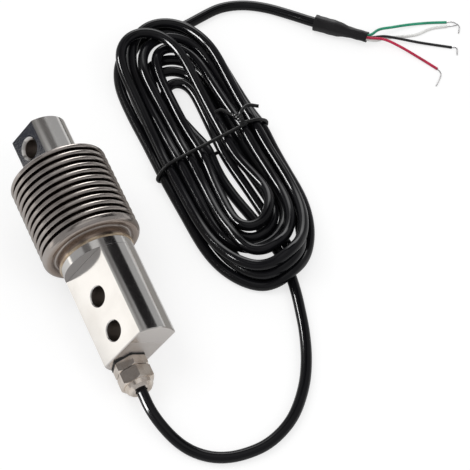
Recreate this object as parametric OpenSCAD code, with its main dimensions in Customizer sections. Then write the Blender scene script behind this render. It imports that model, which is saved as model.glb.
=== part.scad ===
// Bellows-sealed bending-beam load cell with its cable, millimetres.
// The cell lies on a flat surface: it rests on the rounded end of its bellows
// and on the rim of its fixing end, and the cable lies beside it in a hank.

/* [Spring body] */
// Load hole, distance from the load tip
load_hole_x = 10; // [9:0.5:12]
// Load hole to inner fixing hole
hole_span = 82; // [80:0.5:84]
// Spacing of the two fixing holes
hole_pitch = 18; // [17:0.5:20]
// Outer fixing hole to the end face
end_margin = 10; // [9:0.5:12]
// Load hole diameter
load_hole_d = 8.5; // [8:0.1:9]
// Countersink diameter of the load hole
load_sink_d = 11; // [10:0.1:12]
// Fixing hole diameter
fix_hole_d = 9; // [8.5:0.1:9.5]
// Load end diameter
load_d = 26; // [24:0.5:28]
// Load end thickness across its flats
load_t = 20.5; // [19:0.1:21.5]
// Fixing end diameter
fix_d = 34; // [33:0.5:36]
// Fixing end thickness across its flats
fix_t = 21; // [19:0.1:22]
// Length of the fixing flats
fix_flat_len = 45; // [43:0.5:48]
// Width of the measuring beam
beam_w = 12; // [10:0.5:12]
// Height of the measuring beam
beam_h = 20; // [18:0.5:21]
// Diameter of the two relief bores through the beam
relief_d = 12; // [10:0.5:13]

/* [Bellows] */
// Height of the crests above the fixing end
crest_rise = 6; // [5:0.1:7]
// Height of the groove bottoms above the fixing end
groove_rise = 1.5; // [1.2:0.1:2.5]
// Number of crests
crests = 12; // [8:1:13]
// Distance from crest to crest
pitch = 3.5; // [3.2:0.05:3.6]
// Position of the first crest
first_crest_x = 25; // [24.5:0.1:26]
// Sheet thickness
sheet = 0.3; // [0.2:0.05:0.4]
// Radius of the rounded end beside the fixing end
dome_r = 2.4; // [2:0.1:2.6]
// Straight run from the last crest to the rounded end
dome_run = 0.7; // [0:0.1:1.5]
// Length of the cuff that is seated on the fixing end
cuff_len = 3.4; // [2.5:0.1:4]
// Steps in each half turn of the sheet
turn_steps = 8; // [4:1:12]
// Height of the weld beads above their seats
bead_h = 0.6; // [0.4:0.05:1]
// Length of the weld bead on the fixing end
fix_bead_len = 1.1; // [0.8:0.1:1.5]
// Length of the weld bead on the load end
load_bead_len = 2.1; // [1:0.1:2.5]

/* [Gland] */
// Distance of the cable bore from the centre line
gland_off = 9.3; // [9:0.1:9.6]
// Cable bore through the fixing end
wire_bore_d = 6; // [5.5:0.1:6]
// Gland thread diameter
thread_d = 10; // [9:0.5:10]
// Depth of the gland thread in the body
thread_len = 5; // [4:0.2:5]
// Gland size across flats
gland_af = 14; // [13:0.5:14]
// Gasket thickness
gasket_t = 0.8; // [0.5:0.1:1]
// Length of the gland's own hexagon
hex_len = 4.5; // [4:0.1:5]
// Length of the dome nut
nut_len = 9.4; // [8:0.1:10]

/* [Cable] */
// Cable diameter
cable_d = 5; // [4.8:0.1:5.2]
// Core diameter over its insulation
core_d = 1.4; // [1.2:0.05:1.5]
// Bare conductor diameter
wire_d = 0.7; // [0.5:0.05:0.8]
// Hank length
hank_len = 163; // [158:1:166]
// Hank width
hank_w = 57; // [55:1:58]
// Height of the coiled turns
hank_h = 14; // [12:0.5:15]
// Width of the bundle on each side of the hank
bundle_w = 22; // [18:1:24]
// Diameter of the tie wire
tie_d = 1.8; // [1.4:0.1:2]
// Diameter of the shrink sleeve
sleeve_d = 8.4; // [7.5:0.1:9]
// Length of the shrink sleeve
sleeve_len = 29; // [26:1:30]

/* [Hidden] */
$fn = 96;
steel = [0.74, 0.73, 0.71];
sheet_steel = [0.62, 0.60, 0.57];
bead_steel = [0.66, 0.55, 0.42];
nickel = [0.72, 0.69, 0.64];
black = [0.05, 0.05, 0.055];
foil = [0.80, 0.62, 0.28];
resin = [0.16, 0.36, 0.20];
tin = [0.70, 0.71, 0.73];
green = [0.10, 0.47, 0.33];
white = [0.90, 0.90, 0.88];
red = [0.66, 0.08, 0.16];

chamfer = 0.4;
thread_gap = 0.3;
inner_x = load_hole_x + hole_span;
outer_x = inner_x + hole_pitch;
body_len = outer_x + end_margin;
bellows_d = fix_d + 2 * crest_rise;
groove_d = fix_d + 2 * groove_rise;
flat_x = body_len - fix_flat_len;
load_seat_d = load_d + 3;
load_seat_x = first_crest_x - 3.5;
last_crest_x = first_crest_x + (crests - 1) * pitch;
turn_r = pitch / 4;
dome_x = last_crest_x + dome_run;
dome_c = bellows_d / 2 - sheet / 2 - dome_r;
fix_seat_x = last_crest_x + 2;
beam_x0 = load_seat_x + 5;
beam_x1 = fix_seat_x;
relief_x0 = beam_x0 + 10;
relief_x1 = beam_x1 - 10;

// Tilt at which the rounded end of the bellows and the lower rim of the end face share one plane
rim_x = body_len - chamfer;
span = rim_x - dome_x;
drop = fix_d / 2 - dome_c;
dome_out = dome_r + sheet / 2;
tilt = asin(dome_out / sqrt(span * span + drop * drop)) - atan(drop / span);
// Roll that brings the edge of the rear flat just clear of the surface
roll = acos(fix_t / fix_d) + 0.6;
axis_rise = rim_x * sin(tilt) + fix_d / 2 * cos(tilt);
gland_end = body_len + gasket_t + hex_len + thread_gap + nut_len;
crown_d = gland_af * 0.7;
crown_z = -gland_off * sin(roll) + crown_d / 2;
ends_x = gland_end * cos(tilt) + crown_z * sin(tilt) - load_d / 2 * sin(tilt);
shift_x = ends_x / 2;

function spun(p) = [p[0], p[1] * cos(roll) - p[2] * sin(roll), p[1] * sin(roll) + p[2] * cos(roll)];
function tilted(p) = [p[0] * cos(tilt) + p[2] * sin(tilt), p[1], p[2] * cos(tilt) - p[0] * sin(tilt)];
function laid(p) = tilted(spun(p)) + [-shift_x, 0, axis_rise];

module lay() translate([-shift_x, 0, axis_rise]) rotate([0, tilt, 0]) rotate([roll, 0, 0]) children();
module along(x) translate([x, 0, 0]) rotate([0, 90, 0]) children();
module rod(x0, x1, d) along(x0) cylinder(h = x1 - x0, d = d);
module taper(x0, x1, d0, d1) along(x0) cylinder(h = x1 - x0, d1 = d0, d2 = d1);
module at_gland() translate([0, -gland_off, 0]) children();
module hexagon(x0, x1, af) along(x0) cylinder(h = x1 - x0, d = af / cos(30), $fn = 6);

// Spring body: load end, measuring beam and fixing end in one piece of steel
module through_hole(x, d, sink_d, t) {
    sink = (sink_d - d) / 2;
    translate([x, 0, -t]) cylinder(h = 2 * t, d = d);
    for (side = [0, 180]) translate([x, 0, 0]) rotate([side, 0, 0])
        translate([0, 0, t / 2 - sink]) cylinder(h = 2 * sink, d1 = d, d2 = d + 4 * sink);
}

module flats(x0, x1, t) {
    for (side = [-1, 1]) translate([x0, -fix_d, side > 0 ? t / 2 : -t / 2 - fix_d])
        cube([x1 - x0, 2 * fix_d, fix_d]);
}

// The chamfer of both flats at an end; dir is the way that the end faces
module flat_chamfers(x, t, dir) for (side = [0, 180]) rotate([side, 0, 0])
    translate([x - dir * chamfer, -fix_d, t / 2]) rotate([0, dir * 45, 0])
        translate([-fix_d, 0, 0]) cube([2 * fix_d, 2 * fix_d, fix_d]);

module load_end() difference() {
    union() {
        taper(0, chamfer, load_d - 2 * chamfer, load_d);
        rod(chamfer, load_seat_x, load_d);
    }
    flats(-1, load_seat_x, load_t);
    flat_chamfers(0, load_t, -1);
    through_hole(load_hole_x, load_hole_d, load_sink_d, load_t);
}

module fixing_end() difference() {
    union() {
        rod(fix_seat_x, body_len - chamfer, fix_d);
        taper(body_len - chamfer, body_len, fix_d, fix_d - 2 * chamfer);
    }
    flats(flat_x, body_len + 1, fix_t);
    flat_chamfers(body_len, fix_t, 1);
    for (x = [inner_x, outer_x]) through_hole(x, fix_hole_d, fix_hole_d + 0.8, fix_t);
}

module beam() difference() {
    translate([beam_x0 - 1, -beam_w / 2, -beam_h / 2]) cube([beam_x1 - beam_x0 + 2, beam_w, beam_h]);
    for (x = [relief_x0, relief_x1]) translate([x, beam_w, 0]) rotate([90, 0, 0])
        cylinder(h = 2 * beam_w, d = relief_d);
    translate([relief_x0, -beam_w, -relief_d / 5]) cube([relief_x1 - relief_x0, 2 * beam_w, relief_d / 2.5]);
}

module spring_body() color(steel) lay() difference() {
    union() {
        load_end();
        rod(load_seat_x, beam_x0, load_seat_d);
        beam();
        fixing_end();
    }
    at_gland() {
        rod(beam_x1 - 6, body_len - 1, wire_bore_d);
        rod(body_len - thread_len, body_len + 1, thread_d);
    }
}

// Bellows: one thin sheet, from the wall on the load seat over every crest and the rounded end
// to the cuff on the fixing end
function turn(x, r, radius, from, to) = [for (i = [0 : turn_steps])
    let (a = from + (to - from) * i / turn_steps) [r + radius * sin(a), x + radius * cos(a)]];
crest_c = bellows_d / 2 - sheet / 2 - turn_r;
root_c = groove_d / 2 - sheet / 2 + turn_r;
cuff_c = fix_d / 2 + sheet / 2;
fold_r = (dome_c - dome_r * sin(45) - cuff_c) / (1 + sin(45));
cuff_x = dome_x + (dome_r + fold_r) * sin(45);
cuff_end = cuff_x + cuff_len;
function skin(o) = concat(
    [[load_seat_d / 2, first_crest_x - turn_r - o]],
    [for (i = [0 : crests - 2]) each concat(
        turn(first_crest_x + i * pitch, crest_c, turn_r + o, 180, 0),
        turn(first_crest_x + (i + 0.5) * pitch, root_c, turn_r - o, 180, 360))],
    turn(last_crest_x, crest_c, turn_r + o, 180, 90),
    turn(dome_x, dome_c, dome_r + o, 90, -45),
    turn(cuff_x, cuff_c + fold_r, fold_r - o, 135, 270),
    [[cuff_c + o, cuff_end]]);
function backwards(list) = [for (i = [len(list) - 1 : -1 : 0]) list[i]];

module bellows() color(sheet_steel) lay() rotate([0, 90, 0]) rotate_extrude()
    polygon(concat(skin(sheet / 2), backwards(skin(-sheet / 2))));

module weld_bead(x, d, dir, len) translate([x, 0, 0]) rotate([0, 90, 0])
    mirror([0, 0, dir > 0 ? 0 : 1]) rotate_extrude()
    polygon([[d / 2, 0], [d / 2 + bead_h, 0], [d / 2 + bead_h, 0.6 * len],
        [d / 2 + bead_h / 2, 0.9 * len], [d / 2, len]]);

module weld_ring_fixed() color(bead_steel) lay() weld_bead(cuff_end, fix_d, 1, fix_bead_len);
module weld_ring_load() color(bead_steel) lay()
    weld_bead(first_crest_x - turn_r - sheet / 2, load_seat_d, -1, load_bead_len);

// Strain gauges over the thin sections, and the terminal block beside the cable bore
gauge_t = 0.2;
module gauge(x, side) color(foil) lay() translate([x - 3, -2, side > 0 ? beam_h / 2 : -beam_h / 2 - gauge_t])
    cube([6, 4, gauge_t]);
module gauge_top_load() gauge(relief_x0, 1);
module gauge_top_fixed() gauge(relief_x1, 1);
module gauge_bottom_load() gauge(relief_x0, -1);
module gauge_bottom_fixed() gauge(relief_x1, -1);

core_step = 0.8;
block_y = gland_off - core_step - core_d / 2 - 0.05;
module terminal_block() color(resin) lay() translate([beam_x1 - 9, -block_y, -4])
    cube([7.5, block_y - beam_w / 2, 8]);

// Cores inside the cell, from the cut end of the jacket to the terminal block
jacket_x = body_len - 3.5;
module inner_core(side, level, tint) color(tint) lay()
    translate([0, -gland_off + side * core_step, level * core_step]) rod(beam_x1 - 8, jacket_x, core_d);
module inner_core_green() inner_core(-1, 1, green);
module inner_core_white() inner_core(1, -1, white);
module inner_core_black() inner_core(-1, -1, black);
module inner_core_red() inner_core(1, 1, red);

// Cable gland: gasket, body, seal and dome nut
hex_x = body_len + gasket_t;
nut_x = hex_x + hex_len + thread_gap;
seal_d = thread_d - 2;
module chamfered_hex(x0, x1, cut0, cut1) intersection() {
    hexagon(x0, x1, gland_af);
    union() {
        taper(x0, x0 + cut0 / 2, gland_af / cos(30) - cut0, gland_af / cos(30));
        rod(x0 + cut0 / 2, x1 - cut1 / 2, gland_af / cos(30));
        taper(x1 - cut1 / 2, x1, gland_af / cos(30), gland_af / cos(30) - cut1);
    }
}

module gland_gasket() color(black) lay() at_gland() difference() {
    hexagon(body_len, hex_x, gland_af + 0.3);
    rod(body_len - 1, hex_x + 1, thread_d);
}

module gland_body() color(nickel) lay() at_gland() difference() {
    union() {
        rod(body_len - thread_len + 0.4, nut_x + 5, thread_d);
        chamfered_hex(hex_x, nut_x - thread_gap, 0.8, 1.6);
    }
    rod(body_len - thread_len, nut_x + 6, cable_d + 0.2);
    rod(nut_x + 1, nut_x + 6, seal_d);
}

module gland_seal() color(black) lay() at_gland() difference() {
    rod(nut_x + 1, nut_x + 6, seal_d);
    rod(nut_x, nut_x + 7, cable_d);
}

module gland_nut() color(nickel) lay() at_gland() difference() {
    union() {
        chamfered_hex(nut_x, nut_x + 6.2, 0.8, 1.8);
        taper(nut_x + 6.2 - 0.9, nut_x + nut_len - 1.4, gland_af - 0.4, gland_af - 1.8);
        taper(nut_x + nut_len - 1.4, nut_x + nut_len, gland_af - 1.8, crown_d);
    }
    rod(nut_x - 1, nut_x + 5, thread_d);
    rod(nut_x, nut_x + 6, seal_d);
    rod(nut_x, nut_x + nut_len + 1, cable_d + 0.6);
}

// Round tubes swept along a list of points
function last(p) = p[len(p) - 1];
function unit(v) = v / norm(v);
function heading(p, i) = unit(p[min(i + 1, len(p) - 1)] - p[max(i - 1, 0)]);
function ring(c, dir, up, r, n) = let (s = unit(cross(up, dir)), t = cross(dir, s))
    [for (k = [0 : n - 1]) c + r * (cos(360 * k / n) * s + sin(360 * k / n) * t)];
function wall(rings, n) = [for (i = [0 : rings - 2], k = [0 : n - 1])
    [i * n + k, i * n + (k + 1) % n, (i + 1) * n + (k + 1) % n, (i + 1) * n + k]];
module tube(p, d, n = 12, up = [0, 0, 1]) polyhedron(
    points = [for (i = [0 : len(p) - 1]) each ring(p[i], heading(p, i), up, d / 2, n)],
    faces = concat([[for (k = [0 : n - 1]) n - 1 - k]], [for (f = wall(len(p), n)) f],
        [[for (k = [0 : n - 1]) (len(p) - 1) * n + k]]));

// Cable: lead from the gland, the coiled hank and the tail to the sleeve
lie = cable_d / 2;
gland_exit = gland_end + 1;
lead_path = [laid([jacket_x, -gland_off, 0]), laid([body_len + 6, -gland_off, 0]),
    laid([gland_exit, -gland_off, 0]), laid([gland_exit + 8, -gland_off + 0.3, 0]),
    [84.5, -4, 5], [94, -0.5, 3.2], [101.5, 4.5, lie], [107.5, 12, lie], [110.5, 22, lie],
    [110, 35, lie], [103.5, 48.5, lie], [92, 59.5, lie], [79.5, 67, lie], [66, 72.5, lie], [54, 76, 2.9], [46.3, 78, 3.6]];
module cable_lead() color(black) tube(lead_path, cable_d);

hank_x = -43;
hank_y = 75.5;
module hank_outline(inset) {
    r = hank_w / 2 - inset;
    half = hank_len / 2 - hank_w / 2;
    for (side = [-1, 1]) translate([side * half, 0]) circle(r = r);
    square([2 * half, 2 * r], center = true);
}
tie_x = hank_x + 2;

// A straight round length that carries a tube's end on into the hank
function onward(p, i, s) = p[i] + s * heading(p, i);
module length_of(p, q, d) let (v = q - p) translate(p)
    rotate([0, acos(v[2] / norm(v)), atan2(v[1], v[0])]) cylinder(h = norm(v), d = d);

sleeve_at = [-98.5, 156, sleeve_d / 2];
sleeve_turn = 43;
jacket_in = 14;
function in_sleeve(s, side, level) = sleeve_at + [s * cos(sleeve_turn) - side * sin(sleeve_turn),
    s * sin(sleeve_turn) + side * cos(sleeve_turn), level];
tail_path = [[-121.5, 98.5, 6.5], [-125, 107, 4.5], [-125.8, 117, lie], [-122.5, 128, lie],
    [-116, 138, lie], [-107.5, 147, 3.2], in_sleeve(-1, 0, 0), in_sleeve(jacket_in, 0, 0)];
module cable_tail() color(black) tube(tail_path, cable_d);

module cable_hank() color(black) {
    difference() {
        translate([hank_x, hank_y, 0]) linear_extrude(hank_h) difference() {
            hank_outline(0);
            hank_outline(bundle_w);
        }
        translate([tie_x - tie_d, 0, -1]) cube([2 * tie_d, 4 * hank_w, tie_d + 1.4]);
    }
    length_of(last(lead_path), onward(lead_path, len(lead_path) - 1, 12), cable_d);
    length_of(tail_path[0], onward(tail_path, 0, -10), cable_d);
}

// Tie round the middle of the hank, its two ends side by side beyond the hank's outer edge
tie_c = tie_d / 2 + 0.15;
tie_side = hank_w / 2 + tie_c;
function tie_at(x, y, z) = [tie_x + x, hank_y + y, z];
tie_path = [tie_at(-6, tie_side + 11, hank_h - 4), tie_at(-3, tie_side + 4, hank_h),
    tie_at(0, tie_side - 0.4, hank_h + tie_c), tie_at(0, 0, hank_h + tie_c),
    tie_at(0, 0.5 - tie_side, hank_h + tie_c), tie_at(0, -tie_side, hank_h + 0.5), tie_at(0, -tie_side, 2),
    tie_at(0, 1.2 - tie_side, tie_c), tie_at(0, 0, tie_c), tie_at(0, tie_side - 1.2, tie_c),
    tie_at(1, tie_side, 2), tie_at(2, tie_side, hank_h - 3), tie_at(0, tie_side + 5, hank_h - 2),
    tie_at(-3.8, tie_side + 11.4, hank_h - 5)];
module hank_tie() color(black) tube(tie_path, tie_d, 8, [1, 0, 0]);

// Shrink sleeve over the cut end of the jacket
module shrink_sleeve() color(black) translate(sleeve_at) rotate([0, 0, sleeve_turn]) difference() {
    union() {
        rod(0, jacket_in + 2, sleeve_d);
        taper(jacket_in + 2, sleeve_len, sleeve_d, sleeve_d - 2.2);
    }
    rod(-1, jacket_in, cable_d);
    rod(0, sleeve_len + 1, 2 * core_step * sqrt(2) + core_d + 0.1);
}

// Cores fanned out of the sleeve, each with its tinned conductor end
rest = core_d / 2;
function from_sleeve(side, level) = [in_sleeve(jacket_in, side * core_step, level * core_step),
    in_sleeve(sleeve_len + 0.5, side * core_step, level * core_step)];
green_path = concat(from_sleeve(1, 1), [[-78.5, 182.5, 4], [-78.2, 190, 2.6], [-77.3, 198.5, 1.4],
    [-75, 208, rest], [-71.4, 217, rest]]);
white_path = concat(from_sleeve(-1, -1), [[-74.2, 179.4, 1.7], [-74.8, 183.6, 0.9], [-73.6, 188, rest],
    [-70.3, 199, rest], [-70.8, 208, rest], [-68.8, 216, rest]]);
black_path = concat(from_sleeve(1, -1), [[-74, 183.4, 3.2], [-70, 190, 2.4], [-64.5, 198.5, 1.2], [-55.6, 211.6, rest]]);
red_path = concat(from_sleeve(-1, 1), [[-71.6, 181.8, 4.2], [-65.5, 187.5, 2.6], [-56, 193.5, 1.2], [-46.2, 198.5, rest]]);
function bare(p, bends) = concat([last(p), onward(p, len(p) - 1, 1)], bends);
green_end = [[-70.2, 220, rest], [-66.5, 221.5, rest], [-62.5, 219, rest]];
white_end = [[-67.9, 219, rest], [-66.9, 220.4, 1.6]];
black_end = [[-54.2, 213.6, rest], [-50.2, 211.6, rest]];
red_end = [[-43.4, 198.8, rest], [-41, 197.4, rest], [-36.8, 192.8, rest]];
module core_green() color(green) tube(green_path, core_d, 8);
module core_white() color(white) tube(white_path, core_d, 8);
module core_black() color(black) tube(black_path, core_d, 8);
module core_red() color(red) tube(red_path, core_d, 8);
module conductor_green() color(tin) tube(bare(green_path, green_end), wire_d, 8);
module conductor_white() color(tin) tube(bare(white_path, white_end), wire_d, 8);
module conductor_black() color(tin) tube(bare(black_path, black_end), wire_d, 8);
module conductor_red() color(tin) tube(bare(red_path, red_end), wire_d, 8);

spring_body();
bellows();
weld_ring_fixed();
weld_ring_load();
gauge_top_load();
gauge_top_fixed();
gauge_bottom_load();
gauge_bottom_fixed();
terminal_block();
inner_core_green();
inner_core_white();
inner_core_black();
inner_core_red();
gland_gasket();
gland_body();
gland_seal();
gland_nut();
cable_lead();
cable_hank();
cable_tail();
hank_tie();
shrink_sleeve();
core_green();
core_white();
core_black();
core_red();
conductor_green();
conductor_white();
conductor_black();
conductor_red();
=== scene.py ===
"""Dresses a bellows load cell: nickel-plated spring body, steel bellows, cable gland and tied cable."""

from __future__ import annotations

import logging
import math
from dataclasses import dataclass, field
from enum import Enum
from typing import Sequence

import bpy
import numpy as np
from mathutils import Matrix, Vector

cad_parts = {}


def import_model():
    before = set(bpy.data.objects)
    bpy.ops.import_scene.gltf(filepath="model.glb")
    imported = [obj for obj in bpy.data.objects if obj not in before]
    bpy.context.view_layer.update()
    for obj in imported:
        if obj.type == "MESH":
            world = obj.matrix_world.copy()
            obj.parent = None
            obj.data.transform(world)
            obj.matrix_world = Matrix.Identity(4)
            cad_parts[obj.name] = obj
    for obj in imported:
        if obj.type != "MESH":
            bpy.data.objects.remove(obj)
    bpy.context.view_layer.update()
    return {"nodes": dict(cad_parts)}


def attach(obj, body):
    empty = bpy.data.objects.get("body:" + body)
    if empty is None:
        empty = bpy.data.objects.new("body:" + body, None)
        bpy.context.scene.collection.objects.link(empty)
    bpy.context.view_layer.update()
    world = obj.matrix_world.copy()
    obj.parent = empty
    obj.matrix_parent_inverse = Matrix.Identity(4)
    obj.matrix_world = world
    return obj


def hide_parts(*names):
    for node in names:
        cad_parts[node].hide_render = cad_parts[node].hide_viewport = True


LOG = logging.getLogger("load_cell")
MM = 0.001
Point = tuple[float, float, float]
Colour = tuple[float, float, float, float]


def paint(red: float, green: float, blue: float) -> Colour:
    """Gives an opaque colour."""
    return (red, green, blue, 1.0)


# --- shader expressions -------------------------------------------------------------


class Value:
    """A number socket that is worked on with Python's operators."""

    def __init__(self, graph: Graph, socket: bpy.types.NodeSocket) -> None:
        """Keeps the socket and the graph it is in."""
        self.graph = graph
        self.socket = socket

    def _math(self, operation: str, *others: Value | float) -> Value:
        """Adds one Math node.

        Args:
            operation: the node's operation.
            others: what follows this value in the node's inputs.

        Returns:
            The node's result.
        """
        parts = dict(enumerate((self, *others)))
        return Value(self.graph, self.graph.node("ShaderNodeMath", {"operation": operation}, parts).outputs[0])

    def __add__(self, other: Value | float) -> Value:
        """Adds."""
        return self._math("ADD", other)

    __radd__ = __add__

    def __mul__(self, other: Value | float) -> Value:
        """Multiplies."""
        return self._math("MULTIPLY", other)

    __rmul__ = __mul__

    def __sub__(self, other: Value | float) -> Value:
        """Takes the other away."""
        return self._math("SUBTRACT", other)

    def __rsub__(self, other: float) -> Value:
        """Is taken away from a number."""
        return self * -1.0 + other

    def __truediv__(self, other: Value | float) -> Value:
        """Divides."""
        return self._math("DIVIDE", other)

    def __pow__(self, other: float) -> Value:
        """Raises to a power."""
        return self._math("POWER", other)

    def size(self) -> Value:
        """Gives the value without its sign."""
        return self._math("ABSOLUTE")

    def sine(self) -> Value:
        """Gives the sine of the value in radians."""
        return self._math("SINE")

    def most(self, other: Value | float) -> Value:
        """Gives the larger of two values."""
        return self._math("MAXIMUM", other)

    def step(self, low: float, high: float) -> Value:
        """Rises smoothly from 0 at low to 1 at high, or falls where low is above high.

        Args:
            low: the value that gives 0.
            high: the value that gives 1.

        Returns:
            The mask, from 0 to 1.
        """
        ends = {"Value": self, "From Min": min(low, high), "From Max": max(low, high)}
        ends |= {"To Min": float(low > high), "To Max": float(low < high)}
        node = self.graph.node("ShaderNodeMapRange", {"interpolation_type": "SMOOTHSTEP"}, ends)
        return Value(self.graph, node.outputs[0])

    def within(self, low: float, high: float, soft: float) -> Value:
        """Is 1 between two values and 0 outside them, with soft edges."""
        return self.step(low - soft, low + soft) * self.step(high + soft, high - soft)


class Place:
    """A vector socket: a point on the piece, or a direction."""

    def __init__(self, graph: Graph, socket: bpy.types.NodeSocket) -> None:
        """Keeps the socket and the graph it is in."""
        self.graph = graph
        self.socket = socket

    def _vector(self, operation: str, other: Sequence[float]) -> bpy.types.Node:
        """Adds one Vector Math node."""
        return self.graph.node("ShaderNodeVectorMath", {"operation": operation}, {0: self, 1: tuple(other)})

    def along(self, direction: Sequence[float]) -> Value:
        """Gives how far the point lies along a direction."""
        return Value(self.graph, self._vector("DOT_PRODUCT", direction).outputs["Value"])

    def times(self, scale: Sequence[float]) -> Place:
        """Scales each coordinate."""
        return Place(self.graph, self._vector("MULTIPLY", scale).outputs["Vector"])


class Graph:
    """A node tree that is written as expressions."""

    def __init__(self, tree: bpy.types.NodeTree) -> None:
        """Starts from an empty tree."""
        self.tree = tree
        tree.nodes.clear()

    def node(self, kind: str, settings: dict | None = None, sockets: dict | None = None) -> bpy.types.Node:
        """Adds one node, sets it, and then feeds its sockets.

        Args:
            kind: the node's type.
            settings: its settings by name, with a ramp's stops as "stops".
            sockets: values or links by socket name or number.

        Returns:
            The new node.
        """
        made = self.tree.nodes.new(kind)
        for name, value in (settings or {}).items():
            if name == "stops":
                self._set_stops(made.color_ramp, value)
            else:
                setattr(made, name, value)
        for key, value in (sockets or {}).items():
            if isinstance(value, (Value, Place)):
                self.tree.links.new(value.socket, made.inputs[key])
            elif isinstance(value, bpy.types.NodeSocket):
                self.tree.links.new(value, made.inputs[key])
            else:
                made.inputs[key].default_value = value
        return made

    @staticmethod
    def _set_stops(ramp: bpy.types.ColorRamp, stops: Sequence[tuple[float, Colour]]) -> None:
        """Gives a colour ramp its stops, lowest first."""
        while len(ramp.elements) < len(stops):
            ramp.elements.new(1.0)
        for element, (position, colour) in zip(ramp.elements, stops):
            element.position = position
            element.color = colour

    def point(self) -> Place:
        """Gives the point in the piece's own coordinates, in metres."""
        return Place(self, self.node("ShaderNodeTexCoord").outputs["Object"])

    def noise(self, where: Place, scale: float, detail: float = 3.0, roughness: float = 0.5) -> Value:
        """Gives a noise pattern.

        Args:
            where: the point it is read at.
            scale: how many times it changes in a metre.
            detail: its finer layers.
            roughness: how strong those are.

        Returns:
            A value around a half.
        """
        sockets = {"Vector": where, "Scale": scale, "Detail": detail, "Roughness": roughness}
        return Value(self, self.node("ShaderNodeTexNoise", None, sockets).outputs[0])

    def blend(self, factor: Value | float, first: object, second: object) -> bpy.types.NodeSocket:
        """Mixes two colours.

        Args:
            factor: 0 for the first, 1 for the second.
            first: a colour or a colour link.
            second: a colour or a colour link.

        Returns:
            The mixed colour's socket.
        """
        settings = {"data_type": "RGBA", "clamp_factor": True}
        return self.node("ShaderNodeMix", settings, {0: factor, 6: first, 7: second}).outputs[2]

    def ramp(self, factor: Value, stops: Sequence[tuple[float, Colour]]) -> bpy.types.NodeSocket:
        """Turns a value into a colour by stops."""
        return self.node("ShaderNodeValToRGB", {"stops": stops}, {0: factor}).outputs[0]

    def relief(self, height: Value, depth: float, strength: float = 1.0) -> bpy.types.NodeSocket:
        """Gives a normal for a fine relief of a given depth in metres."""
        node = self.node("ShaderNodeBump", None, {"Strength": strength, "Distance": depth, "Height": height})
        return node.outputs[0]


# --- the cell's own frame -----------------------------------------------------------


@dataclass(frozen=True)
class Cell:
    """Sizes of the cell in millimetres, and how it lies on the surface."""

    body_len: float = 120.0
    load_d: float = 26.0
    fix_d: float = 34.0
    fix_t: float = 21.0
    flat_len: float = 45.0
    bellows_d: float = 46.0
    groove_d: float = 37.0
    first_crest: float = 25.0
    last_crest: float = 63.5
    dome_r: float = 2.4
    dome_run: float = 0.7
    sheet: float = 0.3
    gland_off: float = 9.3
    gland_end: float = 135.0
    gland_af: float = 14.0
    chamfer: float = 0.4

    @property
    def tilt(self) -> float:
        """The dip towards the gland, in radians."""
        core = self.bellows_d / 2 - self.sheet / 2 - self.dome_r
        span = self.body_len - self.chamfer - self.last_crest - self.dome_run
        drop = self.fix_d / 2 - core
        return math.asin((self.dome_r + self.sheet / 2) / math.hypot(span, drop)) - math.atan(drop / span)

    @property
    def roll(self) -> float:
        """The turn about its own length, in radians."""
        return math.acos(self.fix_t / self.fix_d) + math.radians(0.6)

    @property
    def turn(self) -> Matrix:
        """The rotation from the cell's own frame to the row frame."""
        return Matrix.Rotation(self.tilt, 3, "Y") @ Matrix.Rotation(self.roll, 3, "X")

    @property
    def start(self) -> Vector:
        """The middle of the load tip in the row frame, in metres."""
        rim = self.body_len - self.chamfer
        rise = rim * math.sin(self.tilt) + self.fix_d / 2 * math.cos(self.tilt)
        crown = -self.gland_off * math.sin(self.roll) + self.gland_af * 0.35
        ends = self.gland_end * math.cos(self.tilt) + (crown - self.load_d / 2) * math.sin(self.tilt)
        return Vector((-ends / 2, 0.0, rise)) * MM

    def at(self, x: float, y: float, z: float) -> Vector:
        """Takes a point of the cell, in millimetres, to the row frame, in metres."""
        return self.turn @ Vector((x, y, z)) * MM + self.start

    def axis(self, index: int) -> Vector:
        """Gives one of the cell's own axes in the row frame."""
        return self.turn.col[index].copy()

    def coordinate(self, graph: Graph, index: int) -> Value:
        """Gives a coordinate of the shaded point in the cell's own frame, in millimetres."""
        axis = self.axis(index)
        return (graph.point().along(axis) - axis.dot(self.start)) * 1000.0

    def own_point(self, graph: Graph, stretch: Point) -> Place:
        """Gives the shaded point along the cell's axes, each stretched, for patterns that follow the cell."""
        parts = {index: self.coordinate(graph, index) * (MM * stretch[index]) for index in range(3)}
        return Place(graph, graph.node("ShaderNodeCombineXYZ", None, parts).outputs[0])

    def radius(self, graph: Graph) -> Value:
        """Gives the distance of the shaded point from the cell's axis, in millimetres."""
        side, up = self.coordinate(graph, 1), self.coordinate(graph, 2)
        return (side * side + up * up) ** 0.5


CELL = Cell()


# --- finishes -----------------------------------------------------------------------


@dataclass(frozen=True)
class Finish:
    """A finish that makes one material."""

    title: str

    def draw(self, graph: Graph) -> dict:
        """Gives the Principled shader's sockets."""
        raise NotImplementedError

    def make(self) -> bpy.types.Material:
        """Builds the material.

        Returns:
            The material, made once for each finish.
        """
        known = bpy.data.materials.get(self.title)
        if known:
            return known
        material = bpy.data.materials.new(self.title)
        material.use_nodes = True
        graph = Graph(material.node_tree)
        shader = graph.node("ShaderNodeBsdfPrincipled", None, self.draw(graph))
        graph.node("ShaderNodeOutputMaterial", None, {"Surface": shader.outputs[0]})
        return material


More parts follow.
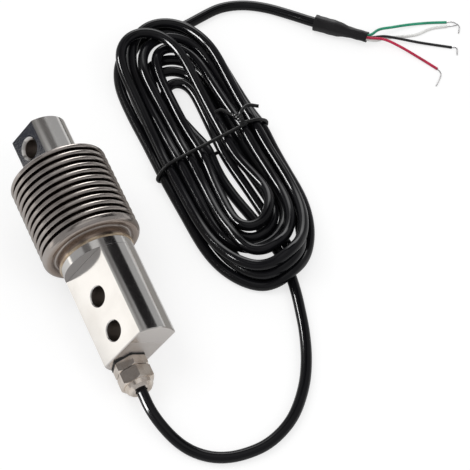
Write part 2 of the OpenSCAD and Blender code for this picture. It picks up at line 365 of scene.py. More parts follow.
@dataclass(frozen=True)
class NickelSteel(Finish):
    """Nickel plate over machined steel: near mirror, with faint turning and grinding marks, and painted shade
    inside the holes and on the step face at the shoulder.
    """

    title: str = "nickel_steel"
    base: Colour = paint(0.80, 0.785, 0.76)

    def draw(self, graph: Graph) -> dict:
        """Gives the plated steel's sockets."""
        cloud = graph.noise(graph.point(), 55.0, 4.0)
        marks = graph.noise(CELL.own_point(graph, (3.0, 0.25, 0.25)), 900.0, 3.0, 0.6)
        bore = CELL.radius(graph).step(17.2, 16.9) * CELL.coordinate(graph, 2).size().step(10.2, 8.5)
        inside = bore * CELL.coordinate(graph, 1).size().step(5.6, 5.2)
        colour = graph.blend(cloud.step(0.35, 0.7), self.base, paint(0.74, 0.72, 0.69))
        # Painted shade: dark brown is mixed in at three quarters inside the holes between the flats; the mask also
        # takes in the middle of the end faces, and the roughness it adds is not shade.
        colour = graph.blend(inside * 0.75, colour, paint(0.16, 0.12, 0.10))
        along = CELL.coordinate(graph, 0)
        shoulder = along.within(74.9, 75.1, 0.03)
        end = along.step(119.7, 119.9)
        # Painted shade: the step face at the shoulder is mixed to a darker grey; the roughness it adds is not
        # shade.
        colour = graph.blend(shoulder, colour, paint(0.40, 0.385, 0.385))
        colour = graph.blend(end, colour, paint(0.78, 0.74, 0.71))
        return {
            "Base Color": colour,
            "Metallic": 1.0,
            "Roughness": cloud * 0.06 + marks * 0.06 + 0.075 + inside * 0.25 + shoulder * 0.15 + end * 0.1,
            "Normal": graph.relief(marks, 0.000004, 0.6),
        }


@dataclass(frozen=True)
class BellowsSteel(Finish):
    """Thin rolled steel with rings drawn by the tool, painted shade darkening the grooves, and browner by the weld.
    """

    title: str = "bellows_steel"
    base: Colour = paint(0.52, 0.475, 0.445)

    def draw(self, graph: Graph) -> dict:
        """Gives the bellows' sockets."""
        along = CELL.coordinate(graph, 0)
        radius = CELL.radius(graph)
        rings = graph.noise(CELL.own_point(graph, (9.0, 0.6, 0.6)), 420.0, 4.0, 0.6)
        cloud = graph.noise(graph.point(), 90.0, 5.0, 0.6)
        colour = graph.blend(cloud.step(0.3, 0.75), self.base, paint(0.45, 0.405, 0.375))
        # Painted shade: the grooves between the crests are mixed towards dark brown.
        groove_shade = radius.step(22.6, 21.0) * along.step(65.5, 64.0) * 0.88
        colour = graph.blend(groove_shade, colour, paint(0.10, 0.075, 0.065))
        heat = along.step(65.6, 67.2) * 0.7
        colour = graph.blend(heat, colour, paint(0.36, 0.27, 0.21))
        return {
            "Base Color": colour,
            "Metallic": 1.0,
            "Roughness": rings * 0.1 + cloud * 0.08 + 0.14,
            "Normal": graph.relief(rings + cloud * 0.4, 0.00002, 0.5),
        }


@dataclass(frozen=True)
class WeldBead(Finish):
    """A fused bead with straw and brown heat colours in overlapping scales."""

    title: str = "weld_bead"

    def draw(self, graph: Graph) -> dict:
        """Gives the bead's sockets."""
        cloud = graph.noise(graph.point(), 160.0, 4.0, 0.6)
        scales = graph.noise(CELL.own_point(graph, (0.6, 1.0, 1.0)), 1400.0, 2.0)
        stops = [
            (0.25, paint(0.40, 0.30, 0.22)),
            (0.5, paint(0.66, 0.53, 0.38)),
            (0.75, paint(0.74, 0.70, 0.64)),
        ]
        return {
            "Base Color": graph.ramp(cloud, stops),
            "Metallic": 1.0,
            "Roughness": scales * 0.15 + 0.16,
            "Normal": graph.relief(scales, 0.00004, 0.7),
        }


@dataclass(frozen=True)
class GlandNickel(Finish):
    """Nickel-plated brass: bright, with a warm cast and softened where it is handled."""

    title: str = "gland_nickel"
    base: Colour = paint(0.93, 0.85, 0.77)

    def draw(self, graph: Graph) -> dict:
        """Gives the gland's sockets."""
        cloud = graph.noise(graph.point(), 240.0, 5.0, 0.6)
        marks = graph.noise(CELL.own_point(graph, (6.0, 0.5, 0.5)), 900.0, 3.0)
        return {
            "Base Color": graph.blend(cloud.step(0.4, 0.7), self.base, paint(0.74, 0.64, 0.55)),
            "Metallic": 1.0,
            "Roughness": cloud * 0.12 + marks * 0.08 + 0.08,
            "Normal": graph.relief(marks + cloud, 0.000012, 0.6),
        }


@dataclass(frozen=True)
class Moulded(Finish):
    """A plastic or rubber skin with a fine grain and slight changes of tone."""

    base: Colour = paint(0.5, 0.5, 0.5)
    tone: float = 0.12
    gloss: float = 0.3
    spread: float = 0.08
    grain: float = 2200.0
    depth: float = 0.00001
    shine: float = 0.5

    def draw(self, graph: Graph) -> dict:
        """Gives the skin's sockets."""
        fine = graph.noise(graph.point(), self.grain, 3.0, 0.55)
        broad = graph.noise(graph.point(), self.grain / 18.0, 3.0, 0.5)
        darker = paint(*(channel * (1.0 - self.tone) for channel in self.base[:3]))
        lighter = paint(*(min(1.0, channel * (1.0 + self.tone)) for channel in self.base[:3]))
        return {
            "Base Color": graph.blend(broad.step(0.3, 0.7), darker, lighter),
            "Roughness": broad * self.spread * 2.0 + (self.gloss - self.spread),
            "Specular IOR Level": self.shine,
            "Normal": graph.relief(fine, self.depth, 0.5),
        }


@dataclass(frozen=True)
class TinnedCopper(Finish):
    """Twisted strands dipped in solder: silver, a little dull, copper showing in places."""

    title: str = "tinned_copper"

    def draw(self, graph: Graph) -> dict:
        """Gives the conductor's sockets."""
        lay = graph.noise(graph.point(), 2600.0, 2.0)
        return {
            "Base Color": graph.blend(lay.step(0.5, 0.75), paint(0.76, 0.76, 0.77), paint(0.62, 0.56, 0.50)),
            "Metallic": 1.0,
            "Roughness": lay * 0.3 + 0.22,
            "Normal": graph.relief(lay, 0.00006, 0.7),
        }


@dataclass(frozen=True)
class GaugeFoil(Finish):
    """Etched foil: a fine grid of bright metal on an amber carrier."""

    title: str = "gauge_foil"

    def draw(self, graph: Graph) -> dict:
        """Gives the gauge's sockets."""
        grid = (CELL.coordinate(graph, 1) * 9.0).sine().step(-0.2, 0.2)
        edge = CELL.coordinate(graph, 1).size().step(1.7, 1.4)
        return {
            "Base Color": graph.blend(grid * edge, paint(0.62, 0.36, 0.10), paint(0.72, 0.66, 0.55)),
            "Metallic": grid * edge,
            "Roughness": 0.35,
        }


class Skins(Enum):
    """The moulded skins on the object."""

    JACKET = Moulded("jacket_skin", paint(0.0045, 0.0045, 0.0055), 0.3, 0.13, 0.03, 900.0, 0.000015, 0.24)
    TIE = Moulded("tie_wire_skin", paint(0.006, 0.006, 0.006), 0.3, 0.3, 0.08, shine=0.35)
    SLEEVE = Moulded("shrink_sleeve_skin", paint(0.009, 0.008, 0.009), 0.3, 0.42, 0.1, 1200.0, 0.00003, 0.4)
    GASKET = Moulded("gasket_rubber", paint(0.02, 0.02, 0.02), 0.25, 0.6, 0.1)
    BOARD = Moulded("board_resin", paint(0.10, 0.28, 0.14), 0.2, 0.45, 0.1)
    GREEN = Moulded("insulation_green", paint(0.02, 0.31, 0.175), 0.18, 0.3)
    WHITE = Moulded("insulation_white", paint(0.82, 0.82, 0.80), 0.05, 0.32)
    BLACK = Moulded("insulation_black", paint(0.012, 0.012, 0.013), 0.25, 0.3)
    RED = Moulded("insulation_red", paint(0.50, 0.018, 0.065), 0.2, 0.3)


# --- making pieces ------------------------------------------------------------------


def dress(piece: bpy.types.Object, finish: Finish) -> None:
    """Gives a piece one finish.

    Args:
        piece: a CAD node or a new piece.
        finish: the finish it takes.
    """
    if not piece.material_slots:
        piece.data.materials.append(finish.make())
    for slot in piece.material_slots:
        slot.link = "OBJECT"
        slot.material = finish.make()


def swept(name: str, runs: Sequence[Sequence[Sequence[float]]], radius: float, rounds: int = 6) -> bpy.types.Object:
    """Sweeps a round section along one or more smooth lines.

    Args:
        name: the piece's name.
        runs: the points of each line, in metres.
        radius: the section's radius, in metres.
        rounds: steps in a quarter of the section.

    Returns:
        The curve object.
    """
    curve = bpy.data.curves.new(name, "CURVE")
    curve.dimensions = "3D"
    curve.bevel_depth = radius
    curve.bevel_resolution = rounds
    curve.use_fill_caps = True
    for run in runs:
        spline = curve.splines.new("NURBS")
        spline.points.add(len(run) - 1)
        for control, place in zip(spline.points, run):
            control.co = (*place, 1.0)
        spline.order_u = 4
        spline.use_endpoint_u = True
        spline.resolution_u = 3
    piece = bpy.data.objects.new(name, curve)
    bpy.context.scene.collection.objects.link(piece)
    return piece


def spaced(line: np.ndarray, gap: float) -> np.ndarray:
    """Lays points at an even distance along a line of points."""
    reach = np.concatenate([[0.0], np.cumsum(np.linalg.norm(np.diff(line, axis=0), axis=1))])
    stops = np.linspace(0.0, reach[-1], max(2, round(reach[-1] / gap) + 1))
    return np.column_stack([np.interp(stops, reach, line[:, index]) for index in range(3)])


def evenly(points: Sequence[Sequence[float]], gap: float) -> np.ndarray:
    """Lays points at an even distance on the smooth line through the given ones.

    Args:
        points: the route's points.
        gap: the distance between the new ones.

    Returns:
        The new points, the first and last as given.
    """
    given = np.asarray(points, dtype=float)
    padded = np.vstack([2 * given[0] - given[1], given, 2 * given[-1] - given[-2]])
    fine = []
    for before, start, end, after in zip(padded, padded[1:], padded[2:], padded[3:]):
        for part in np.linspace(0.0, 1.0, 16, endpoint=False):
            fine.append(
                0.5
                * (
                    2 * start
                    + (end - before) * part
                    + (2 * before - 5 * start + 4 * end - after) * part**2
                    + (3 * start - before - 3 * end + after) * part**3
                )
            )
    return spaced(np.vstack([fine, given[-1]]), gap)


def eased(value: float) -> float:
    """Goes smoothly from 0 to 1 as a value does."""
    value = min(max(value, 0.0), 1.0)
    return value * value * (3 - 2 * value)


@dataclass(frozen=True)
class Turn:
    """One turn of the hank, as (distance inside the outline, height) in millimetres on each side."""

    left: tuple[float, float]
    far: tuple[float, float]
    right: tuple[float, float] = (0.0, 2.5)
    near: tuple[float, float] = (0.0, 2.5)


@dataclass
class Hank:
    """The cable from the gland through its coiled turns to the sleeve, in millimetres."""

    thickness: float = 5.0
    near_x: float = 37.6
    far_x: float = -123.0
    left_y: float = 51.2
    right_y: float = 101.8
    middle_y: float = 74.0
    tie_x: float = -38.4
    tie_lean: float = -0.16
    turns: tuple[Turn, ...] = (
        Turn((20.0, 2.5), (31.0, 2.5), (19.6, 2.5), (0.3, 7.4)),
        Turn((10.0, 2.5), (22.5, 3.2), (14.7, 2.5), (22.5, 9.0)),
        Turn((15.0, 2.5), (17.8, 6.4), (9.8, 2.5), (17.0, 11.8)),
        Turn((7.6, 6.8), (0.2, 16.6), (2.5, 6.8), (2.2, 17.2)),
        Turn((2.6, 6.8), (5.8, 20.6), (17.2, 6.8), (26.5, 14.0)),
        Turn((17.5, 6.8), (13.2, 10.2), (9.9, 6.8), (11.0, 14.2)),
        Turn((12.6, 6.8), (8.8, 14.6), (4.9, 2.5), (0.9, 12.3)),
        Turn((5.0, 2.5), (0.6, 9.6), (0.0, 2.5), (0.0, 2.5)),
        Turn((0.0, 2.5), (0.0, 3.2)),
    )
    lead: tuple[Point, ...] = (
        (84.5, -4.0, 5.0),
        (94.0, -0.5, 3.2),
        (101.5, 4.5, 2.5),
        (107.5, 12.0, 2.5),
        (110.5, 22.0, 2.5),
        (110.0, 35.0, 2.5),
        (103.5, 48.5, 2.5),
        (92.0, 59.5, 2.5),
        (79.5, 67.0, 2.5),
        (66.0, 72.5, 2.5),
        (54.0, 76.0, 2.6),
        (46.3, 78.0, 2.6),
        (36.0, 80.0, 2.5),
        (24.0, 81.0, 2.5),
        (10.0, 79.6, 2.5),
        (-3.0, 77.0, 2.5),
        (-14.0, 74.6, 2.5),
        (-26.0, 72.6, 2.5),
        (-38.0, 71.4, 2.5),
        (-50.0, 71.2, 2.5),
    )
    tail: tuple[Point, ...] = (
        (-120.8, 86.0, 3.2),
        (-121.2, 96.0, 2.8),
        (-123.6, 106.0, 2.5),
        (-125.2, 117.0, 2.5),
        (-122.5, 128.0, 2.5),
        (-116.0, 138.0, 2.5),
        (-106.6, 146.6, 3.2),
    )
    points: np.ndarray = field(default_factory=lambda: np.zeros((0, 3)))

    def _bend(
        self, tip: tuple[float, float], side: float, level: tuple[float, float], reach: float
    ) -> np.ndarray:
        """Gives a quarter of a turn's end, from the straight run to the tip.

        Args:
            tip: where the tip lies along and across the hank.
            side: where the run lies across it.
            level: the height on the run and at the tip.
            reach: the longest that the bend may be along the hank, negative at the far end.

        Returns:
            The points from the run to the tip.
        """
        spread = math.copysign(max(abs(side - tip[1]), 11.0 if reach < 0 else 10.5), side - tip[1])
        slender = 1.2 + 0.4 * eased((abs(spread) - 11.0) / 9.0)
        along = math.copysign(min(slender * abs(spread), abs(reach)), reach)
        steps = np.linspace(0.0, math.pi / 2, 14)
        bend = []
        start = self.tie_x + 0.3 * reach
        for x, y in zip(tip[0] - along + along * np.sin(steps), tip[1] + spread * np.cos(steps)):
            share = eased((start - x) / (start - tip[0] + 0.12 * reach))
            bend.append((x, y, level[0] + (level[1] - level[0]) * share))
        return np.array(bend)

    def _turns(self) -> np.ndarray:
        """Winds the turns, each from the tie by the far end, the right side and the near end back to the tie."""
        wound = []
        for number, turn in enumerate(self.turns):
            left, right = self.left_y + turn.left[0], self.right_y - turn.right[0]
            far = (self.far_x + turn.far[0], (left + right) / 2 - 1.0)
            near = (self.near_x - turn.near[0], self.middle_y)
            far_left = self._bend(far, left, (turn.left[1], turn.far[1]), -32.0)
            if number == len(self.turns) - 1:
                wound.append(far_left)
                break
            follow = self.turns[number + 1]
            far_right = self._bend(far, right, (turn.right[1], turn.far[1]), -32.0)[::-1]
            flare = right + 0.2 * turn.near[0]
            near_right = self._bend(near, flare, (turn.right[1], turn.near[1]), 46.0)
            near_left = self._bend(near, self.left_y + follow.left[0], (follow.left[1], turn.near[1]), 46.0)[::-1]
            wound += [far_left, far_right[1:], [(self.tie_x, right, turn.right[1])], near_right, near_left[1:]]
            wound.append([(self.tie_x, self.left_y + follow.left[0], follow.left[1])])
        line = spaced(np.vstack(wound), 3.6)
        for _ in range(6):
            line[1:-1] = line[:-2] * 0.25 + line[1:-1] * 0.5 + line[2:] * 0.25
        sway = np.arange(len(line)) * 3.6
        line[:, 1] += 0.5 * np.sin(sway / 57.0) + 0.25 * np.sin(sway / 23.0 + 1.0)
        part = np.clip((line[:, 0] - 16.0) / 14.0, 0.0, 1.0)
        line[:, 2] += 5.0 * np.exp(-(((line[:, 1] - 80.0) / 9.0) ** 2)) * part * part * (3 - 2 * part)
        return line

    def lay(self) -> np.ndarray:
        """Settles the cable so that its turns lie on and beside each other.

        Returns:
            The cable's centreline in metres.
        """
        gland = [CELL.at(x, -CELL.gland_off, 0.0) / MM for x in (116.5, 126.0, 136.0, 144.0)]
        sleeve = [Sleeve().along(reach, 0.0, 0.0) / MM for reach in (-1.0, 13.5)]
        home = evenly(np.vstack([gland, self.lead, self._turns()[::2], self.tail, sleeve]), 3.6)
        line = home.copy()
        held = np.zeros(len(line), dtype=bool)
        held[: int(np.argmin(np.linalg.norm(line - np.array(self.lead[13]), axis=1))) + 1] = True
        held[int(np.argmin(np.linalg.norm(line - np.array(self.tail[2]), axis=1))) :] = True
        order = np.arange(len(line))
        apart = np.abs(order[:, None] - order[None, :]) > 3
        for turn in range(480):
            if turn % 6 == 0:
                gaps = np.linalg.norm(line[:, None, :] - line[None, :, :], axis=2)
                first, second = np.nonzero((gaps < self.thickness * 1.5) & apart)
            step = line[first] - line[second]
            gap = np.linalg.norm(step, axis=1)
            short = np.clip(self.thickness * 1.06 - gap, 0.0, None)
            move = np.zeros_like(line)
            np.add.at(move, first, step / np.maximum(gap, 0.01)[:, None] * (short * 0.3)[:, None])
            arch = (line[:-2] + line[2:]) / 2 - line[1:-1]
            tight = np.linalg.norm(arch, axis=1)
            excess = np.clip(tight - 0.72, 0.0, None) * 0.5
            move[1:-1] += arch * (excess / np.maximum(tight, 0.01))[:, None]
            shift = line - home
            shift[1:-1] += ((shift[:-2] + shift[2:]) / 2 - shift[1:-1]) * 0.35
            line = np.where(held[:, None], line, home + shift * 0.995 + move)
            line[~held, 2] -= 0.03
            lift = 1.7 * np.exp(-(((line[:, 0] - self.tie_at(line[:, 1])) / 9.0) ** 2))
            lift *= (line[:, 1] > 40.0) & (line[:, 1] < 110.0)
            low = self.thickness / 2 + lift
            line[~held, 2] = np.maximum(line[~held, 2], low[~held])
        gaps = np.linalg.norm(line[:, None, :] - line[None, :, :], axis=2)[apart]
        LOG.info("cable laid through %d points, closest strands %.2f mm", len(line), float(gaps.min()))
        self.points = line * MM
        return self.points

    def tie_at(self, side: np.ndarray) -> np.ndarray:
        """Gives the place of the tie along the hank for a place across it."""
        return self.tie_x + self.tie_lean * (side - 50.0)

    def build(self) -> bpy.types.Object:
        """Makes the cable as one swept line."""
        piece = swept("cable", [self.lay()], self.thickness / 2 * MM, 5)
        dress(piece, Skins.JACKET.value)
        return piece


@dataclass
class TwistTie:
    """The thin wire round the middle of the hank, in millimetres."""

    wire: float = 1.7

    def _hull(self, places: np.ndarray) -> np.ndarray:
        """Gives the shortest loop round points of a plane, in order."""
        ordered = sorted(map(tuple, places))

        def half(points: Sequence[tuple[float, float]]) -> list[tuple[float, float]]:
            """Walks one side of the loop."""
            side: list[tuple[float, float]] = []
            for point in points:
                while len(side) > 1 and (
                    (side[-1][0] - side[-2][0]) * (point[1] - side[-2][1])
                    - (side[-1][1] - side[-2][1]) * (point[0] - side[-2][0])
                    <= 0
                ):
                    side.pop()
                side.append(point)
            return side[:-1]

        return np.array(half(ordered) + half(ordered[::-1]))

    def build(self, hank: Hank) -> bpy.types.Object:
        """Draws the wire tight round the strands and twists its ends on top of the far bundle.

        Args:
            hank: the settled cable.

        Returns:
            The tie.
        """
        cable = hank.points / MM
        off = np.abs(cable[:, 0] - hank.tie_at(cable[:, 1])) < 2.6
        strands = cable[off & (cable[:, 1] > 40.0) & (cable[:, 1] < 110.0)][:, 1:]
        reach = hank.thickness / 2 + self.wire / 2
        circle = np.linspace(0.0, 2 * math.pi, 24, endpoint=False)
        round_all = [(y + reach * math.cos(a), z + reach * math.sin(a)) for y, z in strands for a in circle]
        loop = self._hull(np.array(round_all))
        loop[:, 1] = np.maximum(loop[:, 1], self.wire / 2)
        top = loop[:, 1].max()
        start = int(np.argmin(np.abs(loop[:, 0] - 95.0) - (loop[:, 1] > top - 4.0) * 50.0))
        loop = np.roll(loop, -start, axis=0)
        path = [(float(hank.tie_at(y)), y, z) for y, z in loop]
        path.append((path[0][0] - 1.0, path[0][1] - 0.4, path[0][2] + 0.6))
        knot = Vector(path[-1])
        runs = [evenly(path, 2.5) * MM]
        ends = ((-10.5, -9.5, 0.4), (-5.5, 11.0, 0.6))
        for number, end in enumerate(ends):
            heart = knot + Vector((-5.0, -1.5 + 2.0 * number, 1.0))
            run = [knot]
            for step in range(1, 13):
                angle = step * 1.9 + math.pi * number
                middle = knot.lerp(heart, step / 12)
                run.append(middle + Vector((0.3 * math.cos(angle), 0.9 * math.cos(angle), 0.9 * math.sin(angle))))
            run += [heart + Vector(end) * 0.5, knot + Vector(end)]
            runs.append(evenly([tuple(point) for point in run], 1.2) * MM)
        piece = swept("twist_tie", runs, self.wire / 2 * MM, 3)
        dress(piece, Skins.TIE.value)
        return piece


@dataclass(frozen=True)
class Sleeve:
    """The shrink sleeve over the cut end of the jacket, in millimetres."""

    at: Point = (-95.6, 155.6, 4.2)
    heading: float = 45.0
    width: float = 8.4
    length: float = 27.4
    core_step: float = 0.8

    def along(self, reach: float, side: float, up: float) -> Vector:
        """Gives a point of the sleeve's own frame in the row frame, in metres."""
        angle = math.radians(self.heading)
        ahead = Vector((math.cos(angle), math.sin(angle), 0.0))
        across = Vector((-math.sin(angle), math.cos(angle), 0.0))
        return (Vector(self.at) + ahead * reach + across * side + Vector((0.0, 0.0, up))) * MM

    def profile(self, reach: float) -> tuple[float, float]:
        """Gives the sleeve's half width and half height at a distance from its start.

        Args:
            reach: the distance in millimetres.

        Returns:
            The half width and the half height in millimetres.
        """
        fall = eased((reach - 10.0) / 9.0)
        wide = self.width / 2 * (1 - fall) + 3.3 * fall
        high = self.width / 2 * (1 - fall) + 2.7 * fall
        flare = 0.25 * math.exp(-(((reach - 0.5) / 1.0) ** 2))
        return wide + flare - 0.25, high + flare * 0.5 - 0.25

    def build(self) -> bpy.types.Object:
        """Shrinks a tube over the jacket and the cores.

        Returns:
            The sleeve.
        """
        bpy.ops.object.select_all(action="DESELECT")
        bpy.ops.mesh.primitive_cylinder_add(vertices=40, radius=1.0, depth=1.0, end_fill_type="NOTHING")
        piece = bpy.context.object
        piece.name = piece.data.name = "sleeve"
        bpy.ops.object.mode_set(mode="EDIT")
        bpy.ops.mesh.select_all(action="SELECT")
        bpy.ops.mesh.bisect(plane_co=(0, 0, 0), plane_no=(0, 0, 1))
        for part in range(1, 28):
            bpy.ops.mesh.select_all(action="SELECT")
            bpy.ops.mesh.bisect(plane_co=(0, 0, part / 28 - 0.5), plane_no=(0, 0, 1))
        bpy.ops.object.mode_set(mode="OBJECT")
        for vertex in piece.data.vertices:
            reach = (vertex.co.z + 0.5) * self.length
            wide, high = self.profile(reach)
            angle = math.atan2(vertex.co.y, vertex.co.x)
            ribs = 0.16 * math.cos(4 * angle + 0.8) * min(max((reach - 15.0) / 9.0, 0.0), 1.0)
            crease = 0.07 * math.sin(reach * 1.3 + 3.0 * math.cos(angle)) * min(reach / 6.0, 1.0)
            vertex.co = self.along(
                reach,
                (wide + ribs + crease) * math.cos(angle),
                (high + ribs + crease) * math.sin(angle),
            )
        bpy.context.view_layer.objects.active = piece
        solid = piece.modifiers.new("wall", "SOLIDIFY")
        solid.thickness = 0.55 * MM
        solid.offset = -1.0
        bpy.ops.object.modifier_apply(modifier=solid.name)
        bpy.ops.object.mode_set(mode="EDIT")
        bpy.ops.mesh.select_all(action="SELECT")
        bpy.ops.mesh.normals_make_consistent(inside=False)
        bpy.ops.object.mode_set(mode="OBJECT")
        bpy.ops.object.shade_smooth_by_angle(angle=math.radians(50))
        dress(piece, Skins.SLEEVE.value)
        return piece


@dataclass
class Core:
    """One insulated core from the sleeve to its bare end, in millimetres."""

    colour: str
    skin: Skins
    side: float
    level: float
    route: tuple[Point, ...]
    bare: tuple[Point, ...]
    width: float = 1.4
    wire: float = 0.7

    def build(self, sleeve: Sleeve) -> tuple[bpy.types.Object, bpy.types.Object, np.ndarray]:
        """Makes the core and its conductor.

        Args:
            sleeve: the sleeve it comes out of.

        Returns:
            The core, the conductor and the core's centreline.
        """
        step = sleeve.core_step
        inside = [sleeve.along(reach, self.side * step, self.level * step) / MM for reach in (13.0, 21.0, 28.0)]
        line = evenly([*map(tuple, inside), *self.route], 1.5) * MM
        core = swept(f"wire_{self.colour}", [line], self.width / 2 * MM, 4)
        dress(core, self.skin.value)
        heading = line[-1] - line[-2]
        tip = [tuple((line[-1] - heading * 0.8) / MM), tuple(line[-1] / MM), *self.bare]
        conductor = swept(f"strands_{self.colour}", [evenly(tip, 0.8) * MM], self.wire / 2 * MM, 3)
        dress(conductor, TinnedCopper())
        return core, conductor, line


CORES = (
    Core(
        "green",
        Skins.GREEN,
        1,
        1,
        ((-78.5, 182.5, 4.0), (-78.2, 190.0, 2.6), (-77.3, 198.5, 1.4), (-75.0, 208.0, 0.7), (-71.4, 217.0, 0.7)),
        ((-70.2, 220.0, 0.7), (-66.5, 221.5, 0.7), (-62.5, 219.0, 0.7)),
    ),
    Core(
        "white",
        Skins.WHITE,
        -1,
        -1,
        (
            (-74.2, 179.4, 1.7),
            (-74.8, 183.6, 0.9),
            (-73.6, 188.0, 0.7),
            (-70.3, 199.0, 0.7),
            (-70.8, 208.0, 0.7),
            (-68.8, 216.0, 0.7),
        ),
        ((-67.9, 219.0, 0.7), (-66.9, 220.4, 1.6)),
    ),
    Core(
        "black",
        Skins.BLACK,
        1,
        -1,
        ((-74.0, 183.4, 3.2), (-70.0, 190.0, 2.4), (-64.5, 198.5, 1.2), (-55.6, 211.6, 0.7)),
        ((-54.2, 213.6, 0.7), (-50.2, 211.6, 0.7)),
    ),
    Core(
        "red",
        Skins.RED,
        -1,
        1,
        ((-71.6, 181.8, 4.2), (-65.5, 187.5, 2.6), (-56.0, 193.5, 1.2), (-46.2, 198.5, 0.7)),
        ((-43.4, 198.8, 0.7), (-41.0, 197.4, 0.7), (-36.8, 192.8, 0.7)),
    ),
)


@dataclass
class Cabling:
    """Everything from the gland outwards: cable, tie, sleeve, cores and conductors."""

    hank: Hank = field(default_factory=Hank)
    tie: TwistTie = field(default_factory=TwistTie)
    sleeve: Sleeve = field(default_factory=Sleeve)

    def build(self) -> None:
        """Makes every piece of the cabling, hides the CAD nodes they stand for and hangs the pieces under the root
        body.
        """
        cable = self.hank.build()
        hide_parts("cable_lead", "cable_hank", "cable_tail")
        tie = self.tie.build(self.hank)
        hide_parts("hank_tie")
        sleeve = self.sleeve.build()
        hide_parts("shrink_sleeve")
        for piece, slot in ((cable, "cable_jacket"), (tie, "tie_wire"), (sleeve, "sleeve")):
            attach(piece, "root")
        tuple(CELL.at(CELL.gland_end, -CELL.gland_off, 0.0))
        for core in CORES:
            self._core(core)

    def _core(self, core: Core) -> None:
        """Makes one core with its conductor, hides their CAD nodes and hangs both under the root body."""
        wire, strands, line = core.build(self.sleeve)
        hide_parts(f"core_{core.colour}")
        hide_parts(f"conductor_{core.colour}")
        for piece, slot in ((wire, f"core_{core.colour}"), (strands, "tin")):
            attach(piece, "root")
        tuple(self.sleeve.along(self.sleeve.length, 0.0, 0.0))
        core.width * MM


@dataclass
class Body:
    """The pieces that keep their CAD shape, and the finish of each."""

    nodes: dict[str, bpy.types.Object]

    def finish_of(self, name: str) -> Finish | None:
        """Gives a node's finish by its name."""
        named: dict[str, Finish] = {
            "spring_body": NickelSteel(),
            "bellows": BellowsSteel(),
            "terminal_block": Skins.BOARD.value,
            "gland_gasket": Skins.GASKET.value,
            "gland_seal": Skins.GASKET.value,
        }
        if name in named:
            return named[name]
        if name.startswith("weld"):
            return WeldBead()
        if name.startswith("gland"):
            return GlandNickel()
        if name.startswith("gauge"):
            return GaugeFoil()
        if name.startswith("inner_core"):
            return Skins[name.rsplit("_", 1)[1].upper()].value
        return None

    def dress(self) -> None:
        """Gives every kept node its finish."""
        for name, node in self.nodes.items():
            finish = self.finish_of(name)
            if finish:
                dress(node, finish)
                LOG.info("%s takes %s", name, finish.title)


# --- the studio ---------------------------------------------------------------------


@dataclass(frozen=True)
class Board:
    """An upright board of the studio that only polished surfaces show, in metres."""

    title: str
    place: Point
    aim: Point
    width: float
    height: float
    tone: Colour

    def build(self) -> None:
        """Stands the board in the studio, unseen by the camera."""
        bpy.ops.object.select_all(action="DESELECT")
        turn = (Vector(self.aim) - Vector(self.place)).to_track_quat("Z", "Y").to_euler()
        bpy.ops.mesh.primitive_plane_add(size=1.0, location=self.place, rotation=turn)
        board = bpy.context.object
        board.name = self.title
        board.scale = (self.width, self.height, 1.0)
        bpy.ops.object.transform_apply(location=True, rotation=True, scale=True)
        for ray in ("camera", "diffuse", "transmission", "volume_scatter", "shadow"):
            setattr(board, f"visible_{ray}", False)
        material = bpy.data.materials.new(self.title)
        material.use_nodes = True
        graph = Graph(material.node_tree)
        glow = graph.node("ShaderNodeEmission", None, {"Color": self.tone, "Strength": 1.0})
        graph.node("ShaderNodeOutputMaterial", None, {"Surface": glow.outputs[0]})
        board.data.materials.append(material)


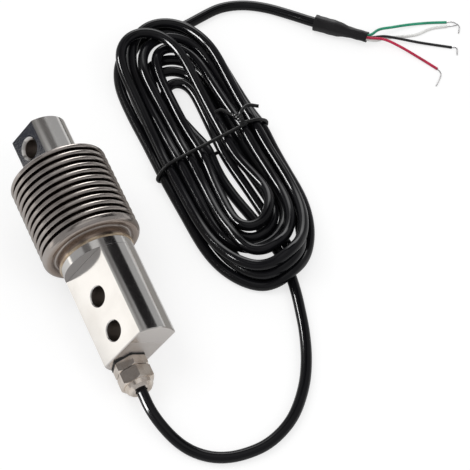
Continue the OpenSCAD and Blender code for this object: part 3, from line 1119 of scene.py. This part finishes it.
@dataclass
class Studio:
    """The camera, the pale floor, the soft light and the cards."""

    azimuth: float = 65.65
    elevation: float = 54.44
    distance: float = 0.8665
    target: Point = (0.00355, 0.06709, 0.0)
    scale: float = 2.175
    frame_px: float = 470.0
    boards: tuple[Board, ...] = (
        Board("white_board", (-0.130, -0.315, 0.026), (0.030, 0.0, 0.026), 0.15, 0.06, paint(1.3, 1.27, 1.235)),
        Board("blue_board", (-0.238, -0.300, 0.034), (-0.055, 0.0, 0.034), 0.075, 0.085, paint(0.012, 0.016, 0.03)),
        Board("black_board", (-0.062, 0.168, 0.186), (0.035, 0.012, 0.05), 0.10, 0.145, paint(0.009, 0.008, 0.009)),
        Board("grey_board", (-0.02, 0.038, 0.013), (-0.02, 0.0, 0.013), 0.19, 0.026, paint(0.30, 0.29, 0.28)),
    )

    def camera(self) -> None:
        """Sets the camera at the photograph's angle."""
        turn, rise = math.radians(self.azimuth), math.radians(self.elevation)
        back = Vector((math.sin(turn) * math.cos(rise), -math.cos(turn) * math.cos(rise), math.sin(rise)))
        right = Vector((math.cos(turn), math.sin(turn), 0.0))
        up = back.cross(right)
        data = bpy.data.cameras.new("camera")
        data.sensor_width = 36.0
        data.lens = 36.0 * self.distance / (self.frame_px / self.scale * MM)
        data.clip_start = 0.01
        data.clip_end = 50.0
        eye = bpy.data.objects.new("camera", data)
        eye.matrix_world = Matrix.Translation(Vector(self.target) + back * self.distance) @ Matrix(
            (right, up, back)
        ).transposed().to_4x4()
        bpy.context.scene.collection.objects.link(eye)
        bpy.context.scene.camera = eye

    def world(self) -> None:
        """Lights the scene evenly, white behind the object, with dark cards in polished metal."""
        world = bpy.data.worlds.new("studio")
        bpy.context.scene.world = world
        world.use_nodes = True
        graph = Graph(world.node_tree)
        direction = Place(graph, graph.node("ShaderNodeTexCoord").outputs["Generated"])
        rays = graph.node("ShaderNodeLightPath")
        seen = Value(graph, rays.outputs["Is Camera Ray"])
        glossy = Value(graph, rays.outputs["Is Glossy Ray"])
        through = Value(graph, rays.outputs["Is Transmission Ray"])
        level = direction.along((0.0, 0.0, 1.0))
        walls = graph.blend(level.step(0.898, 0.913), paint(0.38, 0.38, 0.385), paint(0.60, 0.60, 0.60))
        behind = direction.along((-0.83, -0.56, 0.0)).step(0.0, 0.12)
        room = level.step(0.70, 0.76) * level.step(0.911, 0.899) * behind
        walls = graph.blend(room, walls, paint(0.13, 0.125, 0.125))
        window = direction.along((-0.81, 0.38, 0.44)).step(0.90, 0.985)
        polished = graph.blend(window, walls, paint(1.0, 1.0, 1.0))
        lit = graph.blend(glossy, paint(0.62, 0.62, 0.62), polished)
        shown = graph.blend(seen.most(through), lit, paint(1.0, 1.0, 1.0))
        strength = glossy * window * 3.0 + 1.0
        surface = graph.node("ShaderNodeBackground", None, {"Color": shown, "Strength": strength})
        graph.node("ShaderNodeOutputWorld", None, {"Surface": surface.outputs[0]})

    def floor(self) -> None:
        """Lays a pale floor that stays white and keeps a soft shadow."""
        bpy.ops.object.select_all(action="DESELECT")
        bpy.ops.mesh.primitive_plane_add(size=3.6)
        floor = bpy.context.object
        floor.name = "floor"
        material = bpy.data.materials.new("floor_paper")
        material.use_nodes = True
        graph = Graph(material.node_tree)
        rays = graph.node("ShaderNodeLightPath")
        seen = Value(graph, rays.outputs["Is Camera Ray"])
        glossy = Value(graph, rays.outputs["Is Glossy Ray"])
        grey = graph.blend(seen, paint(0.66, 0.66, 0.66), paint(0.38, 0.38, 0.38))
        paper = graph.node("ShaderNodeBsdfDiffuse", None, {"Color": grey})
        glow = graph.node("ShaderNodeEmission", None, {"Color": paint(1, 1, 1), "Strength": seen * 0.69 + glossy * 0.12})
        both = graph.node("ShaderNodeAddShader", None, {0: paper.outputs[0], 1: glow.outputs[0]})
        graph.node("ShaderNodeOutputMaterial", None, {"Surface": both.outputs[0]})
        floor.data.materials.append(material)

    def lamps(self) -> None:
        """Hangs a broad soft lamp above, and a long narrow one that draws thin lines of light on the cable."""
        for name, place, wide, high, power, glossy in (
            ("key", (-0.5, -0.5, 1.3), 0.9, 0.9, 5.0, False),
            ("fill", (0.9, 0.6, 1.0), 0.7, 0.7, 3.0, False),
            ("strip", (-0.19, -0.88, 0.38), 0.3, 0.7, 36.0, True),
            ("streak", (-0.61, -0.655, 0.504), 0.5, 0.2, 16.0, True),
        ):
            data = bpy.data.lights.new(name, "AREA")
            data.shape = "RECTANGLE"
            data.size = wide
            data.size_y = high
            data.energy = power
            lamp = bpy.data.objects.new(name, data)
            lamp.location = place
            lamp.visible_glossy = glossy
            lamp.visible_diffuse = not glossy
            lamp.rotation_euler = (Vector((-0.05, 0.05, 0.0)) - Vector(place)).to_track_quat("-Z", "Y").to_euler()
            bpy.context.scene.collection.objects.link(lamp)
            if glossy:
                reached = bpy.data.collections.new(f"{name}_reaches")
                for piece in ("cable", "twist_tie"):
                    reached.objects.link(bpy.data.objects[piece])
                lamp.light_linking.receiver_collection = reached

    def build(self) -> None:
        """Sets up the whole studio."""
        self.camera()
        self.world()
        self.floor()
        self.lamps()
        for board in self.boards:
            board.build()
        bpy.context.scene.view_settings.view_transform = "Standard"


def main() -> None:
    """Builds the scene in order; the cable and the dressed nodes report in the log."""
    logging.basicConfig(level=logging.INFO, format="%(name)s: %(message)s")
    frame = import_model()
    Cabling().build()
    Studio().build()
    Body(frame["nodes"]).dress()


if __name__ == "__main__":
    main()
